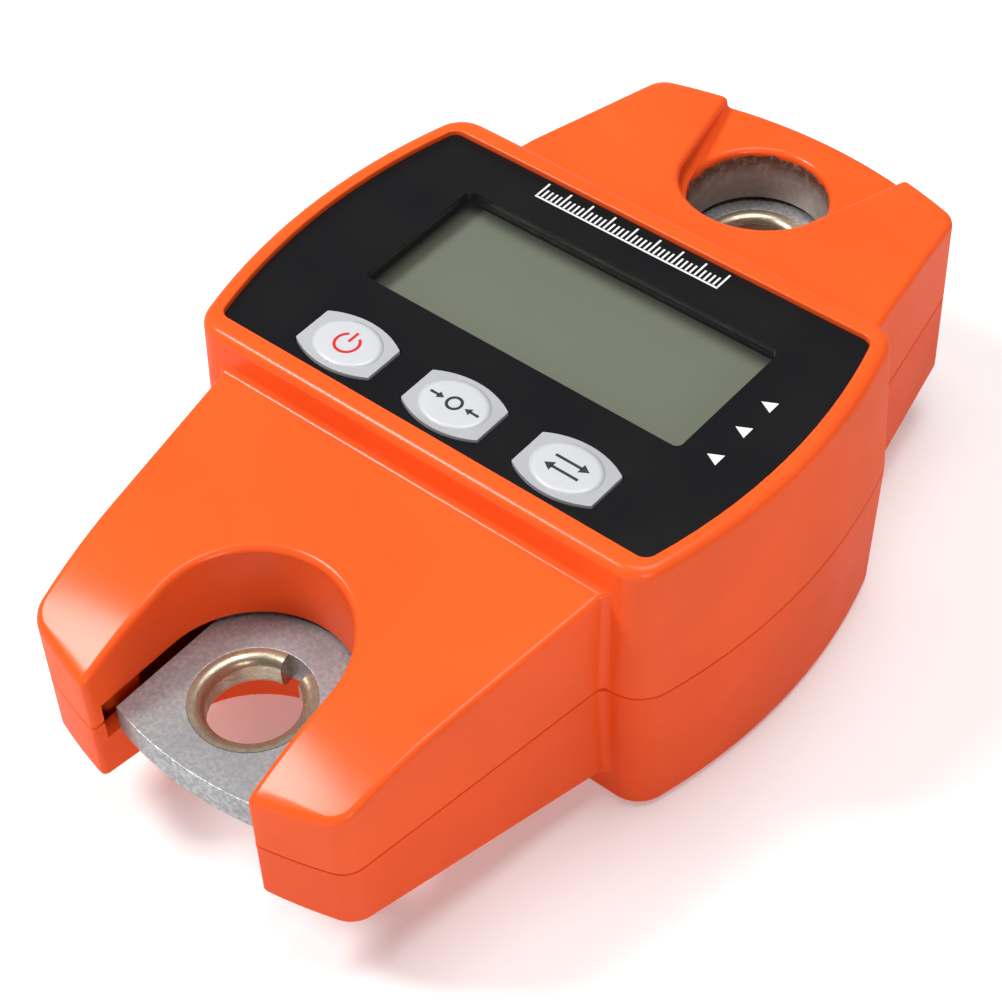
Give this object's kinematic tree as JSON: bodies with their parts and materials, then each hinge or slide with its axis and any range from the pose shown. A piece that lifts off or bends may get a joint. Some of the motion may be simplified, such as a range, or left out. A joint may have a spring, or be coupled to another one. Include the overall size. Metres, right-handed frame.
{
  "type": "crane scale",
  "caption": "Orange hanging crane scale with a display, keys, an open notched load eye at one end and a holed hanging arm at the other.",
  "frame": {"origin": "centre of the bounding box on the plane of the back, on which the scale lies", "axes": "+Z out of the display, +Y from the load eye towards the hanging eye, +X to the right of the display"},
  "size_m": [0.0866, 0.1408, 0.0477],
  "materials": {
    "orange_enamel_front": "gloss enamel on die-cast aluminium",
    "orange_enamel_back": "gloss enamel on die-cast aluminium",
    "face_black": "black satin face sheet",
    "window_clear": "clear acrylic",
    "key_silver": "silver key with white pad",
    "switch_black": "moulded",
    "frame_black": "moulded",
    "lcd_grey": "reflective liquid-crystal cell",
    "light_guide": "diffusing acrylic",
    "zebra_rubber": "layered elastomer",
    "board_green": "solder mask",
    "screw_steel": "zinc plated",
    "bolt_steel": "blackened",
    "chip_black": "epoxy",
    "socket_white": "nylon",
    "plate_steel": "zinc plated, satin",
    "liner_brass": "polished",
    "gauge_foil": "polyimide foil",
    "lead_red": "insulation",
    "tray_black": "moulded",
    "cell_wrap": "printed wrap",
    "contact_nickel": "nickel plated",
    "door_black": "fine texture"
  },
  "bodies": {
    "housing": {"front_shell": "orange_enamel_front", "back_shell": "orange_enamel_back", "overlay_panel": "face_black", "display_window": "window_clear", "switch_cases": "switch_black", "lcd_frame": "frame_black", "lcd_glass": "lcd_grey", "backlight": "light_guide", "zebra_strips": "zebra_rubber", "main_board": "board_green", "board_screws": "screw_steel", "converter_chip": "chip_black", "buzzer": "chip_black", "lead_socket": "socket_white", "load_plate": "plate_steel", "lower_eye_liner": "liner_brass", "upper_eye_liner": "liner_brass", "strain_gauges": "gauge_foil", "gauge_leads": "lead_red", "plate_bolts": "bolt_steel", "plate_washers": "screw_steel", "shell_screws": "bolt_steel", "battery_tray": "tray_black", "battery_cells": "cell_wrap", "contact_springs": "contact_nickel", "contact_plates": "contact_nickel", "battery_leads": "lead_red", "battery_door": "door_black", "door_screws": "screw_steel"},
    "power_key": {"key_power": "key_silver", "plunger_power": "switch_black"},
    "tare_key": {"key_tare": "key_silver", "plunger_tare": "switch_black"},
    "unit_key": {"key_unit": "key_silver", "plunger_unit": "switch_black"}
  },
  "joints": [
    {"name": "power_key_press", "type": "slide", "parent": "housing", "child": "power_key", "axis": [0, 0, -1], "range_m": [0, 0.0005], "stiffness_N_per_m": 800},
    {"name": "tare_key_press", "type": "slide", "parent": "housing", "child": "tare_key", "axis": [0, 0, -1], "range_m": [0, 0.0005], "stiffness_N_per_m": 800},
    {"name": "unit_key_press", "type": "slide", "parent": "housing", "child": "unit_key", "axis": [0, 0, -1], "range_m": [0, 0.0005], "stiffness_N_per_m": 800}
  ]
}
